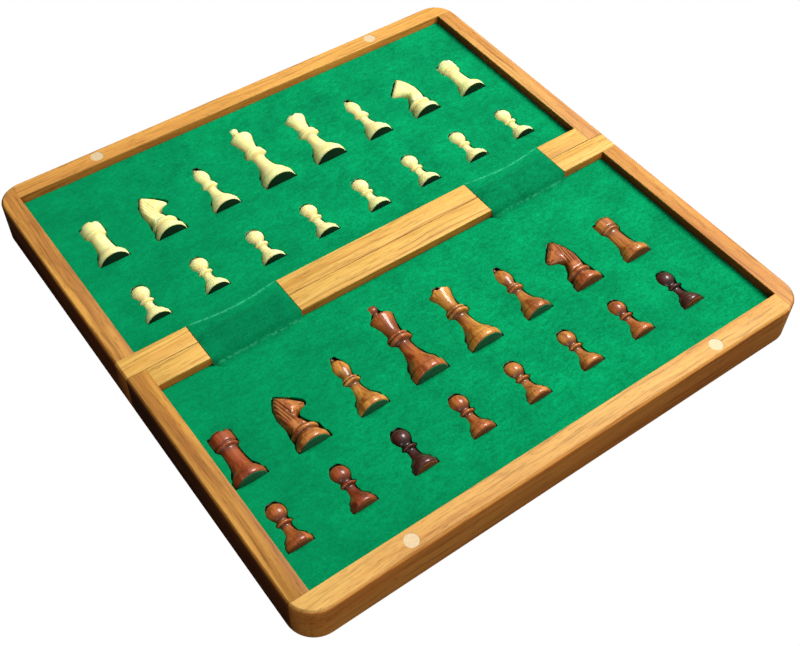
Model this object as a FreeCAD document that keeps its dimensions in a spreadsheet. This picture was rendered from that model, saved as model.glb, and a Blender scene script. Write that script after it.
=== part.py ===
import FreeCAD, Part
import os
import re

from FreeCAD import Placement, Rotation, Vector

# A folding chess case, lying open on its playing squares with the stored pieces upwards.
# X runs along the fold, Y from the near half B to the far half A, Z up.
# The origin is under the middle of the fold, on the surface that the case lies on.

SIZES = [
    ("board_width", 254.0, "open case along the fold"),
    ("half_depth", 128.0, "one half, from the fold line to its outer side"),
    ("side_rail_width", 9.0, "rails at the two ends of the fold"),
    ("outer_rail_width", 9.6, "rail that lies opposite the fold"),
    ("fold_bar_width", 10.0, "rail along the fold"),
    ("fold_gap", 0.1, "from the fold line to each fold bar"),
    ("corner_radius", 12.0, "outer corners, seen from above"),
    ("rim_easing", 1.0, "outer edge of the rim"),
    ("base_easing", 0.6, "outer edge of the underside"),
    ("panel_thickness", 3.6, "base panel"),
    ("panel_rebate", 4.0, "how far the panel goes in under the rails"),
    ("square_size", 28.5, "playing square"),
    ("veneer_thickness", 0.8, "inlaid squares"),
    ("felt_depth", 4.5, "from the rim down to the velvet"),
    ("insert_gap", 0.2, "between the insert and the rails"),
    ("insert_floor", 0.7, "foam left under the deepest slot"),
    ("slot_gap", 0.4, "between a piece and its slot, all round"),
    ("slot_floor_gap", 0.2, "between a piece and the floor of its slot"),
    ("axis_sink", 2.7, "from the velvet down to the axis of a piece"),
    ("king_height", 46.0, "king"),
    ("king_base", 17.2, "diameter"),
    ("queen_height", 37.5, "queen"),
    ("queen_base", 17.0, "diameter"),
    ("bishop_height", 32.5, "bishop"),
    ("bishop_base", 14.4, "diameter"),
    ("knight_height", 29.5, "knight"),
    ("knight_base", 15.0, "diameter"),
    ("knight_thickness", 7.6, "across the carved head"),
    ("rook_height", 25.8, "rook"),
    ("rook_base", 15.0, "diameter"),
    ("pawn_height", 22.0, "pawn"),
    ("pawn_base", 12.2, "diameter"),
    ("magnet_diameter", 6.0, "closing magnet"),
    ("magnet_length", 4.0, "closing magnet"),
    ("magnet_spacing", 154.8, "from one magnet to the other in its rail"),
    ("magnet_recess", 0.1, "magnet below the rim"),
    ("glue_gap", 0.05, "round a magnet or a screw in its hole"),
    ("cover_width", 43.0, "hinge cover along the fold"),
    ("cover_thickness", 0.4, "velvet"),
    ("cover_gap", 0.1, "between a hinge cover and what it lies on"),
    ("cover_side_gap", 0.3, "between a hinge cover and the ends of the notch"),
    ("pivot_lift", 0.15, "hinge axis above the rim"),
    ("knuckle_radius", 1.0, "hinge barrel"),
    ("knuckle_gap", 0.2, "between knuckles, and between a barrel and the other leaf"),
    ("barrel_gap", 0.3, "between the barrel and the groove in the fold bars"),
    ("pin_radius", 0.5, "hinge pin"),
    ("pin_gap", 0.05, "round the hinge pin"),
    ("leaf_thickness", 0.6, "hinge leaf"),
    ("leaf_width", 8.0, "hinge leaf, from the axis"),
    ("leaf_length", 36.0, "hinge along the fold"),
    ("screw_offset", 5.2, "from the fold line to the screws"),
    ("screw_spacing", 24.0, "from one screw to the other in a leaf"),
    ("screw_head_radius", 1.5, "screw head"),
    ("screw_head_height", 0.3, "screw head, let into the leaf"),
    ("screw_radius", 0.8, "screw shank"),
    ("screw_length", 6.0, "screw below the leaf"),
    ("overrun", 1.0, "how far a cutting shape stands past what it cuts"),
]

KINDS = ("king", "queen", "bishop", "knight", "rook", "pawn")
LARGEST_BASE = "max(" + "; ".join(kind + "_base" for kind in KINDS) + ")"
FILES = 8
RANKS_PER_HALF = 4

# The rows along the fold: their length as a share of the room between the side rails,
# and the share of what is left that lies before their first piece
ROW_LENGTH_SHARE = 0.9
LIGHT_START_SHARE = 0.5
DARK_START_SHARE = 0.045
# The rows across a half, from the fold outwards: shares of the room that the tallest pieces leave
LIGHT_PAWN_SHARE = 0.334
LIGHT_BACK_SHARE = 0.441
DARK_BACK_SHARE = 0.26
DARK_PAWN_SHARE = 0.29
# The middle of a hinge, from the middle of the fold: a share of the case's width
HINGE_PLACE_SHARE = 0.28543

# Worked out from the sizes, in the order in which they build on each other
DERIVED = [
    ("felt_level", f"panel_thickness + insert_floor + slot_floor_gap + {LARGEST_BASE} / 2 + axis_sink"),
    ("rim_level", "felt_level + felt_depth"),
    ("axis_level", "felt_level - axis_sink"),
    ("pivot_level", "rim_level + pivot_lift"),
    ("leaf_level", "pivot_level - knuckle_radius"),
    ("inner_half_width", "board_width / 2 - side_rail_width"),
    ("inner_end", "half_depth - outer_rail_width"),
    ("hinge_middle", f"board_width * {HINGE_PLACE_SHARE}"),
    ("row_room", "2 * inner_half_width - rook_base"),
    ("row_slack", f"row_room * (1 - {ROW_LENGTH_SHARE})"),
    ("slot_pitch", f"row_room * {ROW_LENGTH_SHARE} / {FILES - 1}"),
    ("light_row_start", f"rook_base / 2 - inner_half_width + row_slack * {LIGHT_START_SHARE}"),
    ("dark_row_start", f"rook_base / 2 - inner_half_width + row_slack * {DARK_START_SHARE}"),
    ("free_depth", "inner_end - fold_bar_width - king_height - pawn_height"),
    ("light_pawn_row", f"fold_bar_width + free_depth * {LIGHT_PAWN_SHARE}"),
    ("light_back_row", f"light_pawn_row + pawn_height + free_depth * {LIGHT_BACK_SHARE}"),
    ("dark_back_row", f"fold_bar_width + free_depth * {DARK_BACK_SHARE} + king_height"),
    ("dark_pawn_row", f"dark_back_row + free_depth * {DARK_PAWN_SHARE} + pawn_height"),
]

# Where the magnets lie across the outer rail, and the level of their lower ends
MAGNET_LINE = "half_depth - outer_rail_width / 2"
MAGNET_FOOT = "rim_level - magnet_recess - magnet_length"

BACK_ROW = ("rook", "knight", "bishop", "king", "queen", "bishop", "knight", "rook")
HALVES = (("a", 1, "light"), ("b", -1, "dark"))

# Sides of a turned piece and of a screw, a multiple of four so that a flat faces each way
TURNED_SIDES = 12
SCREW_SIDES = 8
# Two places nearer than this are the same place
TOUCHING = 1e-6

# Turned outlines, from the base up the axis: shares of the base radius and of the height
TURNED_SHARES = {
    "king": [
        (1.0, 0.0), (1.0, 0.09), (0.86, 0.17), (0.54, 0.26), (0.4, 0.44), (0.68, 0.49), (0.66, 0.54),
        (0.46, 0.58), (0.72, 0.79), (0.5, 0.855), (0.18, 0.885), (0.26, 0.945), (0.1, 1.0),
    ],
    "queen": [
        (1.0, 0.0), (1.0, 0.095), (0.86, 0.18), (0.54, 0.28), (0.4, 0.49), (0.66, 0.54), (0.64, 0.6),
        (0.44, 0.65), (0.56, 0.79), (0.7, 0.89), (0.4, 0.935), (0.14, 1.0),
    ],
    "bishop": [
        (1.0, 0.0), (1.0, 0.1), (0.86, 0.19), (0.52, 0.29), (0.38, 0.47), (0.62, 0.52), (0.6, 0.57),
        (0.42, 0.61), (0.58, 0.72), (0.5, 0.83), (0.16, 0.94), (0.12, 1.0),
    ],
    "knight": [(1.0, 0.0), (1.0, 0.1), (0.84, 0.2), (0.88, 0.28), (0.68, 0.34)],
    "rook": [
        (1.0, 0.0), (1.0, 0.12), (0.86, 0.2), (0.6, 0.36), (0.54, 0.68), (0.72, 0.76), (0.72, 1.0),
    ],
    "pawn": [
        (1.0, 0.0), (1.0, 0.11), (0.8, 0.2), (0.42, 0.4), (0.64, 0.54), (0.6, 0.59), (0.46, 0.63),
        (0.66, 0.79), (0.52, 0.92), (0.16, 1.0),
    ],
}
# The well in a rook's turret: shares of the base radius and of the height
ROOK_WELL_SHARES = (0.46, 0.08)

# Carved head of a knight that faces +X, from its chest round to its nape, in the same shares
KNIGHT_HEAD_SHARES = [
    (0.66, 0.32), (0.36, 0.44), (0.27, 0.5), (0.56, 0.575), (1.0, 0.63), (1.08, 0.67), (0.95, 0.74),
    (0.45, 0.88), (0.06, 0.97), (-0.06, 1.0), (-0.24, 0.95), (-0.5, 0.79), (-0.66, 0.57), (-0.68, 0.32),
]
# The same head seen from the front: shares of half its thickness and of the height
KNIGHT_CHEEK_SHARES = [(1.0, 0.3), (0.86, 0.62), (0.7, 0.82), (0.3, 1.0)]

# Half outline of each slot up the axis, drawn in by hand close round the piece, in the same shares
SLOT_SHARES = {
    "king": [
        (1.0, 0.0), (1.0, 0.1), (0.88, 0.185), (0.57, 0.27), (0.46, 0.44), (0.7, 0.48), (0.7, 0.54),
        (0.74, 0.8), (0.34, 0.9), (0.3, 1.0),
    ],
    "queen": [
        (1.0, 0.0), (1.0, 0.105), (0.88, 0.19), (0.57, 0.29), (0.46, 0.49), (0.7, 0.53), (0.7, 0.6),
        (0.72, 0.9), (0.24, 1.0),
    ],
    "bishop": [
        (1.0, 0.0), (1.0, 0.11), (0.88, 0.2), (0.55, 0.3), (0.44, 0.47), (0.66, 0.51), (0.64, 0.78),
        (0.26, 1.0),
    ],
    "rook": [
        (1.0, 0.0), (1.0, 0.13), (0.88, 0.21), (0.64, 0.38), (0.58, 0.68), (0.76, 0.75), (0.76, 1.0),
    ],
    "pawn": [
        (1.0, 0.0), (1.0, 0.12), (0.82, 0.21), (0.5, 0.4), (0.68, 0.52), (0.7, 0.8), (0.46, 1.0),
    ],
}
# Whole outline of the slot of a knight that faces +X
KNIGHT_SLOT_SHARES = [
    (1.0, 0.0), (1.0, 0.3), (0.5, 0.42), (0.4, 0.49), (0.6, 0.55), (1.02, 0.605), (1.14, 0.66), (1.04, 0.76),
    (0.5, 0.9), (0.1, 1.0), (-0.08, 1.03), (-0.28, 0.98), (-0.56, 0.81), (-0.74, 0.58), (-0.78, 0.38),
    (-1.0, 0.3), (-1.0, 0.0),
]

doc = FreeCAD.newDocument("folding_chess_case")
sheet = doc.addObject("Spreadsheet::Sheet", "sizes")
for row, (alias, value, note) in enumerate(SIZES, start=1):
    sheet.set(f"A{row}", alias)
    sheet.set(f"B{row}", str(value))
    sheet.set(f"C{row}", note)
    sheet.setAlias(f"B{row}", alias)
doc.recompute()

SIZE_NAMES = {alias for alias, value, note in SIZES}
DERIVED_NAMES = {name for name, text in DERIVED}
derived = doc.addObject("App::VarSet", "derived")
subparts = []


def formula(text):
    """The text with each size and derived value written as the document's expressions name it."""
    def full_name(match):
        word = match.group(0)
        if word in SIZE_NAMES:
            return "sizes." + word
        return "derived." + word if word in DERIVED_NAMES else word
    return re.sub(r"[a-z]\w*", full_name, text)


def bind(thing, target, text):
    thing.setExpression(target, formula(text))


def size(name):
    return float(sheet.get(name))


def level(name):
    return float(getattr(derived, name))


for name, text in DERIVED:
    derived.addProperty("App::PropertyFloat", name)
    bind(derived, name, text)
doc.recompute()


def place(thing, x, y, z):
    for letter, text in zip("xyz", (x, y, z)):
        bind(thing, "Placement.Base." + letter, text)


def turned_range(span, side):
    """The span itself, or the same span turned half a turn about the middle of the case."""
    low, high = span
    return (low, high) if side > 0 else (f"-({high})", f"-({low})")


def block(name, x, y, z, side=1):
    x, y = turned_range(x, side), turned_range(y, side)
    box = doc.addObject("Part::Box", name)
    for edge, (low, high) in zip(("Length", "Width", "Height"), (x, y, z)):
        bind(box, edge, f"({high}) - ({low})")
    place(box, x[0], y[0], z[0])
    return box


def post(name, radius, x, y, z, side=1):
    """An upright cylinder from z[0] to z[1]."""
    cylinder = doc.addObject("Part::Cylinder", name)
    bind(cylinder, "Radius", radius)
    bind(cylinder, "Height", f"({z[1]}) - ({z[0]})")
    place(cylinder, f"({x}) * {side}", f"({y}) * {side}", z[0])
    return cylinder


def bar_along_fold(name, radius, x, side=1):
    """A cylinder on the hinge axis from x[0] to x[1]."""
    low, high = turned_range(x, side)
    cylinder = doc.addObject("Part::Cylinder", name)
    cylinder.Placement = Placement(Vector(), Rotation(Vector(0, 1, 0), 90))
    bind(cylinder, "Radius", radius)
    bind(cylinder, "Height", f"({high}) - ({low})")
    place(cylinder, low, "0", "pivot_level")
    return cylinder


def fuse(name, shapes):
    joined = doc.addObject("Part::MultiFuse", name)
    joined.Shapes = shapes
    return joined


def cut(name, base, tools):
    left = doc.addObject("Part::Cut", name)
    left.Base = base
    left.Tool = tools[0] if len(tools) == 1 else fuse(name + "_tools", tools)
    return left


def common(name, base, tool):
    shared = doc.addObject("Part::Common", name)
    shared.Base = base
    shared.Tool = tool
    return shared


def group(name, members):
    held = doc.addObject("Part::Compound", name)
    held.Links = members
    return held


def subpart(thing, label):
    thing.Label = label
    subparts.append(thing)
    return thing


def trimmed(kind, name, base, width, wanted):
    """The base with a fillet or chamfer on each edge whose bounding box passes the test."""
    doc.recompute()
    edges = [i for i, edge in enumerate(base.Shape.Edges, start=1) if wanted(edge.BoundBox)]
    trim = doc.addObject(kind, name)
    trim.Base = base
    trim.Edges = [(i, size(width), size(width)) for i in edges]
    doc.recompute()
    return trim


def near(first, second):
    return abs(first - second) < TOUCHING


def frame_blank(tag, side):
    """One half as a solid block, with its outer corners rounded and its outer edges eased."""
    outer = size("half_depth") * side
    rim = level("rim_level")
    solid = block("blank_" + tag, ("-board_width / 2", "board_width / 2"), ("fold_gap", "half_depth"),
                  ("0", "rim_level"), side)
    solid = trimmed("Part::Fillet", "corners_" + tag, solid, "corner_radius",
                    lambda box: near(box.XLength, 0) and near(box.YMin, outer) and near(box.YMax, outer))
    solid = trimmed("Part::Chamfer", "rim_" + tag, solid, "rim_easing",
                    lambda box: near(box.ZMin, rim) and near(box.YMin, outer) and near(box.YMax, outer))
    return trimmed("Part::Chamfer", "underside_" + tag, solid, "base_easing",
                   lambda box: near(box.ZMax, 0) and near(box.YMin, outer) and near(box.YMax, outer))


def square_field(name, side):
    """The recess that the playing squares of one half lie in."""
    across = f"square_size * {FILES} / 2"
    depth = ("fold_gap - overrun", f"fold_gap + square_size * {RANKS_PER_HALF}")
    return block(name, (f"-{across}", across), depth, ("-overrun", "veneer_thickness"), side)


def panel_block(name, side):
    across = "(inner_half_width + panel_rebate)"
    depth = ("fold_bar_width - panel_rebate", "inner_end + panel_rebate")
    return block(name, ("-" + across, across), depth, ("0", "panel_thickness"), side)


def hinge_places():
    """Each hinge's name, and the middle of it along the fold."""
    return (("left", "-hinge_middle"), ("right", "hinge_middle"))


def screw_places(middle):
    return [f"({middle}) - screw_spacing / 2", f"({middle}) + screw_spacing / 2"]


def magnet_places():
    return ["-magnet_spacing / 2", "magnet_spacing / 2"]


def frame_cuts(tag, side):
    """Everything that is cut out of one half's rails."""
    cavity = block("cavity_" + tag, ("-inner_half_width", "inner_half_width"),
                   ("fold_bar_width", "inner_end"), ("-overrun", "rim_level + overrun"), side)
    tools = [cavity, panel_block("rebate_" + tag, side), square_field("field_" + tag, side)]
    for hinge, middle in hinge_places():
        half_notch = "(cover_width / 2 + cover_side_gap)"
        ends = (f"({middle}) - {half_notch}", f"({middle}) + {half_notch}")
        name = f"{hinge}_{tag}"
        tools.append(block("notch_" + name, ends, ("fold_gap - overrun", "fold_bar_width + overrun"),
                           ("leaf_level", "rim_level + overrun"), side))
        tools.append(bar_along_fold("groove_" + name, "knuckle_radius + barrel_gap", ends, side))
        for i, x in enumerate(screw_places(middle)):
            tools.append(peg(f"pilot_{name}_{i}", "screw_radius + glue_gap", x,
                             ("leaf_level - screw_length - glue_gap", "leaf_level + overrun"), side))
    for i, x in enumerate(magnet_places()):
        tools.append(post(f"magnet_bore_{tag}_{i}", "magnet_diameter / 2 + glue_gap", x, MAGNET_LINE,
                          (MAGNET_FOOT, "rim_level + overrun"), side))
    return tools


def make_rails(tag, side):
    """Four rails that go round like a pinwheel: each runs through at one end and butts at the other."""
    frame = cut("frame_" + tag, frame_blank(tag, side), frame_cuts(tag, side))
    half_width, inside = "board_width / 2", "inner_half_width"
    regions = {
        "outer_rail": ((f"-{inside}", half_width), ("inner_end", "half_depth")),
        "corner_side_rail": ((f"-{half_width}", f"-{inside}"), ("fold_bar_width", "half_depth")),
        "fold_bar": ((f"-{half_width}", inside), ("fold_gap", "fold_bar_width")),
        "fold_side_rail": ((inside, half_width), ("fold_gap", "inner_end")),
    }
    for name, (x, y) in regions.items():
        region = block(f"{name}_region_{tag}", x, y, ("0", "rim_level"), side)
        subpart(common(f"{name}_solid_{tag}", frame, region), f"{name}_{tag}")


def make_base(tag, side):
    """The base panel, and the playing squares inlaid in its underside and the fold bar's."""
    field = square_field("panel_field_" + tag, side)
    panel = cut("panel_solid_" + tag, panel_block("panel_" + tag, side), [field])
    subpart(panel, "base_panel_" + tag)
    squares = {"light": [], "dark": []}
    for rank in range(RANKS_PER_HALF):
        for file in range(FILES):
            colour = "dark" if (file + rank + RANKS_PER_HALF) % 2 else "light"
            x = [f"square_size * {i - FILES / 2}" for i in (file, file + 1)]
            y = [f"fold_gap + square_size * {i}" for i in (rank, rank + 1)]
            square = block(f"square_{tag}_{rank}_{file}", x, y, ("0", "veneer_thickness"), side)
            squares[colour].append(square)
    for colour, members in squares.items():
        subpart(group(f"{colour}_square_group_{tag}", members), f"{colour}_squares_{tag}")


def make_magnets(tag, side):
    members = [
        post(f"magnet_{tag}_{i}", "magnet_diameter / 2", x, MAGNET_LINE,
             (MAGNET_FOOT, "rim_level - magnet_recess"), side)
        for i, x in enumerate(magnet_places())
    ]
    subpart(group("magnet_group_" + tag, members), "magnets_" + tag)


def knuckle_spans(middle, tag):
    """Half A has the middle third of each barrel, half B the two outer thirds."""
    third, half_gap = "leaf_length / 6", "knuckle_gap / 2"
    if tag == "a":
        return [(f"({middle}) - {third} + {half_gap}", f"({middle}) + {third} - {half_gap}")]
    return [
        (f"({middle}) - leaf_length / 2", f"({middle}) - {third} - {half_gap}"),
        (f"({middle}) + {third} + {half_gap}", f"({middle}) + leaf_length / 2"),
    ]


def peg(name, radius, x, z, side):
    """An upright many-sided peg at a screw's place, from z[0] to z[1]."""
    prism = doc.addObject("Part::Prism", name)
    prism.Polygon = SCREW_SIDES
    bind(prism, "Circumradius", radius)
    bind(prism, "Height", f"({z[1]}) - ({z[0]})")
    place(prism, f"({x}) * {side}", f"screw_offset * {side}", z[0])
    return prism


def make_screw(name, x, side):
    """A flat-headed screw, with its head let into the leaf and its shank through it."""
    top = "leaf_level + leaf_thickness"
    head = peg(name + "_head", "screw_head_radius", x, (f"{top} - screw_head_height", top), side)
    shank = peg(name + "_shank", "screw_radius", x, ("leaf_level - screw_length", top), side)
    return fuse(name, [head, shank])


def make_hinge_half(tag, side):
    """The leaves and screws of both hinges that are fixed to one half."""
    leaves, screws = [], []
    top = "leaf_level + leaf_thickness"
    level_span = ("leaf_level", top)
    clear = "knuckle_radius + knuckle_gap"
    for hinge, place_along in hinge_places():
        name = f"{hinge}_{tag}"
        middle = f"({place_along}) * {side}"
        ends = (f"({middle}) - leaf_length / 2", f"({middle}) + leaf_length / 2")
        solids = [block("leaf_plate_" + name, ends, (clear, "leaf_width"), level_span, side)]
        for i, span in enumerate(knuckle_spans(middle, tag)):
            solids.append(block(f"tongue_{name}_{i}", span, ("0", clear), level_span, side))
            solids.append(bar_along_fold(f"knuckle_{name}_{i}", "knuckle_radius", span, side))
        tools = [bar_along_fold("leaf_bore_" + name, "pin_radius + pin_gap", ends, side)]
        for i, x in enumerate(screw_places(middle)):
            tools.append(peg(f"screw_hole_{name}_{i}", "screw_radius + glue_gap", x,
                             ("leaf_level - overrun", f"{top} + overrun"), side))
            tools.append(peg(f"screw_seat_{name}_{i}", "screw_head_radius + glue_gap", x,
                             (f"{top} - screw_head_height", f"{top} + overrun"), side))
            screws.append(make_screw(f"screw_{name}_{i}", x, side))
        leaves.append(cut("leaf_" + name, fuse("leaf_solid_" + name, solids), tools))
    subpart(group("leaf_group_" + tag, leaves), "hinge_leaves_" + tag)
    subpart(group("screw_group_" + tag, screws), "hinge_screws_" + tag)


def make_pins():
    members = [
        bar_along_fold("pin_" + hinge, "pin_radius", (f"({x}) - leaf_length / 2", f"({x}) + leaf_length / 2"))
        for hinge, x in hinge_places()
    ]
    subpart(group("pin_group", members), "hinge_pins")


def new_sketch(body, name, role, edges):
    """A sketch on one of the body's own origin planes, holding the given edges."""
    plane = next(f for f in body.Origin.OriginFeatures if f.Role == role)
    sketch = body.newObject("Sketcher::SketchObject", name)
    sketch.AttachmentSupport = [(plane, "")]
    sketch.MapMode = "FlatFace"
    sketch.addGeometry(edges, False)
    sketch.detectMissingPointOnPointConstraints(TOUCHING)
    sketch.makeMissingPointOnPointCoincident()
    return sketch


def outline(points):
    """Straight edges from point to point and back to the first."""
    places = [Vector(x, y, 0) for x, y in points]
    return [Part.LineSegment(start, end) for start, end in zip(places, places[1:] + places[:1])]


def mirrored(half):
    """A half outline on the +X side, closed by the same points on the other side."""
    return half + [(-x, y) for x, y in reversed(half)]


def scaled(shares, kind, facing=1):
    """Points from shares of a kind's base radius and height."""
    radius, height = size(kind + "_base") / 2, size(kind + "_height")
    return [(x * radius * facing, y * height) for x, y in shares]


def make_cover(hinge, middle):
    """A velvet strip that lies over one hinge and hangs down inside both halves to the inserts."""
    lift, thick = size("cover_gap"), size("cover_thickness")
    bar, felt = size("fold_bar_width"), level("felt_level")
    low = level("leaf_level") + size("leaf_thickness") + lift
    crest = level("pivot_level") + size("knuckle_radius") + lift
    shoulder = size("knuckle_radius") + size("knuckle_gap")
    foot = shoulder + (crest - low)
    under = [(bar + lift, felt + lift), (bar + lift, low), (foot, low), (shoulder, crest)]
    over = [(shoulder, crest + thick), (foot + thick, low + thick), (bar + lift + thick, low + thick),
            (bar + lift + thick, felt + lift)]
    right = under + [(-y, z) for y, z in reversed(under)]
    left = [(-y, z) for y, z in reversed(over)] + over
    body = doc.addObject("PartDesign::Body", "cover_" + hinge)
    section = new_sketch(body, "cover_section_" + hinge, "YZ_Plane",
                         outline(right + left))
    strip = body.newObject("PartDesign::Pad", "cover_strip_" + hinge)
    strip.Profile = section
    strip.Midplane = True
    bind(strip, "Length", "cover_width")
    bind(body, "Placement.Base.x", middle)
    subpart(body, "hinge_cover_" + hinge)


def slot_outline(kind, facing):
    """A slot round a piece that lies along +Y from the origin, one gap wider than the piece."""
    gap = size("slot_gap")
    shares = KNIGHT_SLOT_SHARES if kind == "knight" else mirrored(SLOT_SHARES[kind])
    middle = size(kind + "_height") / 2
    return [(x + (gap if x > 0 else -gap), y + (gap if y > middle else -gap if near(y, 0) else 0))
            for x, y in scaled(shares, kind, facing)]


def rows(colour):
    """Every piece of one colour: its kind, name, row, steps of the pitch from the first, and facing."""
    counts = {}
    for row, kinds in (("back", BACK_ROW), ("pawn", ("pawn",) * FILES)):
        for file, kind in enumerate(kinds):
            counts[kind] = counts.get(kind, 0) + 1
            name = f"{colour}_{kind}"
            if kind == "pawn":
                name += f"_{counts[kind]}"
            elif kinds.count(kind) > 1:
                name += "_left" if file < FILES / 2 else "_right"
            yield kind, name, f"{colour}_{row}_row", file, 1 if file < FILES / 2 else -1


def make_insert(tag, side, colour):
    """A foam block faced with velvet, with a slot for each piece of one colour."""
    body = doc.addObject("PartDesign::Body", "insert_" + tag)
    half_width = level("inner_half_width") - size("insert_gap")
    fold_end = size("fold_bar_width") + size("insert_gap")
    far_end = level("inner_end") - size("insert_gap")
    ends = [side * fold_end, side * far_end]
    corners = [(-half_width, ends[0]), (half_width, ends[0]), (half_width, ends[1]), (-half_width, ends[1])]
    plan = new_sketch(body, "insert_plan_" + tag, "XY_Plane", outline(corners))
    bind(plan, "AttachmentOffset.Base.z", "panel_thickness")
    foam = body.newObject("PartDesign::Pad", "insert_foam_" + tag)
    foam.Profile = plan
    bind(foam, "Length", "felt_level - panel_thickness")
    doc.recompute()
    for kind in KINDS:
        edges = []
        for piece_kind, name, row, steps, facing in rows(colour):
            if piece_kind == kind:
                x = level(f"{colour}_row_start") + level("slot_pitch") * steps
                for edge in outline(slot_outline(kind, facing)):
                    edge.translate(Vector(x, level(row) * side, 0))
                    edges.append(edge)
        before = body.Shape.Volume
        shapes = new_sketch(body, f"{kind}_slots_{tag}", "XY_Plane", edges)
        bind(shapes, "AttachmentOffset.Base.z", "felt_level")
        slots = body.newObject("PartDesign::Pocket", f"{kind}_slot_{tag}")
        slots.Profile = shapes
        bind(slots, "Length", f"axis_sink + {kind}_base / 2 + slot_floor_gap")
        doc.recompute()
        if body.Shape.Volume > before - TOUCHING:
            raise RuntimeError(f"the {kind} slots of half {tag} cut nothing")
    subpart(body, "slotted_insert_" + tag)


def standing_slab(name, points, width, turn):
    """An upright outline on the origin, drawn out both ways across itself and then turned about Z."""
    sketch = doc.addObject("Sketcher::SketchObject", name + "_outline")
    sketch.Placement = Placement(Vector(), Rotation(Vector(1, 0, 0), 90))
    sketch.addGeometry(outline(points), False)
    slab = doc.addObject("Part::Extrusion", name)
    slab.Base = sketch
    slab.DirMode = "Normal"
    slab.Solid = True
    slab.Symmetric = True
    bind(slab, "LengthFwd", width)
    slab.Placement = Placement(Vector(), Rotation(Vector(0, 0, 1), turn))
    return slab


def shared_by(name, shapes):
    kept = doc.addObject("Part::MultiCommon", name)
    kept.Shapes = shapes
    return kept


def turned_form(kind):
    """A turned piece on the origin: what its outline, seen from each side in turn, leaves in common."""
    points = mirrored(scaled(TURNED_SHARES[kind], kind))
    slabs = [
        standing_slab(f"{kind}_seen_{i}", points, f"{kind}_base + overrun", 360 / TURNED_SIDES * i)
        for i in range(TURNED_SIDES // 2)
    ]
    return shared_by(kind + "_turned", slabs)


def rook_form():
    radius_share, depth_share = ROOK_WELL_SHARES
    well = doc.addObject("Part::Prism", "rook_well")
    well.Polygon = TURNED_SIDES
    bind(well, "Circumradius", f"rook_base / 2 * {radius_share}")
    bind(well, "Height", f"rook_height * {depth_share} + overrun")
    place(well, "0", "0", f"rook_height * (1 - {depth_share})")
    return cut("rook_hollowed", turned_form("rook"), [well])


def knight_form(base, facing):
    """A turned foot with a horse's head on it, cut to its outline from the side and from the front."""
    name = "knight_right" if facing > 0 else "knight_left"
    half_thickness, height = size("knight_thickness") / 2, size("knight_height")
    front = [(x * half_thickness, y * height) for x, y in KNIGHT_CHEEK_SHARES]
    head = shared_by(name + "_head", [
        standing_slab(name + "_side", scaled(KNIGHT_HEAD_SHARES, "knight", facing), "knight_thickness", 0),
        standing_slab(name + "_front", mirrored(front), "knight_base * 2", 90),
    ])
    return fuse(name, [base, head])


def make_forms():
    """Each kind of piece, standing on the origin, by its kind and the way that it faces."""
    forms = {}
    for kind in KINDS:
        form = rook_form() if kind == "rook" else turned_form(kind)
        for facing in (1, -1):
            forms[kind, facing] = knight_form(form, facing) if kind == "knight" else form
    return forms


def lay_piece(form, name, x, y):
    """A piece on its side in its slot, with its base towards -Y and its head towards +Y."""
    piece = group(name + "_piece", [form])
    piece.Placement = Placement(Vector(), Rotation(Vector(1, 0, 0), -90))
    place(piece, x, y, "axis_level")
    subpart(piece, name)


FORMS = make_forms()
for tag, side, colour in HALVES:
    make_rails(tag, side)
    make_base(tag, side)
    make_magnets(tag, side)
    make_hinge_half(tag, side)
    for kind, name, row, steps, facing in rows(colour):
        x = f"{colour}_row_start + slot_pitch * {steps}"
        lay_piece(FORMS[kind, facing], name, x, f"{row} * {side}")
    make_insert(tag, side, colour)
make_pins()
for hinge, middle in hinge_places():
    make_cover(hinge, middle)
doc.recompute()

for thing in doc.Objects:
    if "Invalid" in thing.State or "Error" in thing.State:
        raise RuntimeError(f"{thing.Name} failed: {thing.State}")
for thing in subparts:
    if thing.Shape.isNull() or not thing.Shape.isValid():
        raise RuntimeError(f"{thing.Label} has no valid shape")

os.makedirs("parts", exist_ok=True)
for thing in subparts:
    thing.Shape.exportStep(f"parts/{thing.Label}.step")
print(f"{len(subparts)} sub-parts, {sum(len(thing.Shape.Solids) for thing in subparts)} solids")
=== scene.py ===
"""Dresses a folding chess case: wooden rails, velvet inserts, hinge covers, chess pieces and a stage."""

import math

import bmesh
import bpy
from mathutils import Matrix, Vector, noise
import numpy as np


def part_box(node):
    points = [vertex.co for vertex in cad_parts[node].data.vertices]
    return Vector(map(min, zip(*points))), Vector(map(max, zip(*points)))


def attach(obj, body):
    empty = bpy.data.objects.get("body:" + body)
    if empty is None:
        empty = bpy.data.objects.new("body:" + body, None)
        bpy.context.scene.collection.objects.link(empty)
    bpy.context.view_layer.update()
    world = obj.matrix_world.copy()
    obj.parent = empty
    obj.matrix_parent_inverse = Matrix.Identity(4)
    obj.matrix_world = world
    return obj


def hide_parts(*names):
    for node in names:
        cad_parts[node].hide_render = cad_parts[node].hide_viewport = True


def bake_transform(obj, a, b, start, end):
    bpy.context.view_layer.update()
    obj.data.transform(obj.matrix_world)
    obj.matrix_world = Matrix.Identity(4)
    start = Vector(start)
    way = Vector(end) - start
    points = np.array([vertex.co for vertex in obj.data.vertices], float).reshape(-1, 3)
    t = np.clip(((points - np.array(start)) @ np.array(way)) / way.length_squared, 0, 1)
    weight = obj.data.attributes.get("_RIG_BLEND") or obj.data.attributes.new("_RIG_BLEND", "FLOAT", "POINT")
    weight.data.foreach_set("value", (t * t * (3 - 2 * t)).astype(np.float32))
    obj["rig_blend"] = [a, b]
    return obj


bl_info = {
    "name": "Folding chess case",
    "version": (1, 0, 0),
    "blender": (4, 5, 0),
    "location": "3D View > Sidebar > Chess case",
    "description": "Dresses the packed model of a folding chess case",
    "category": "Object",
}

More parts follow.
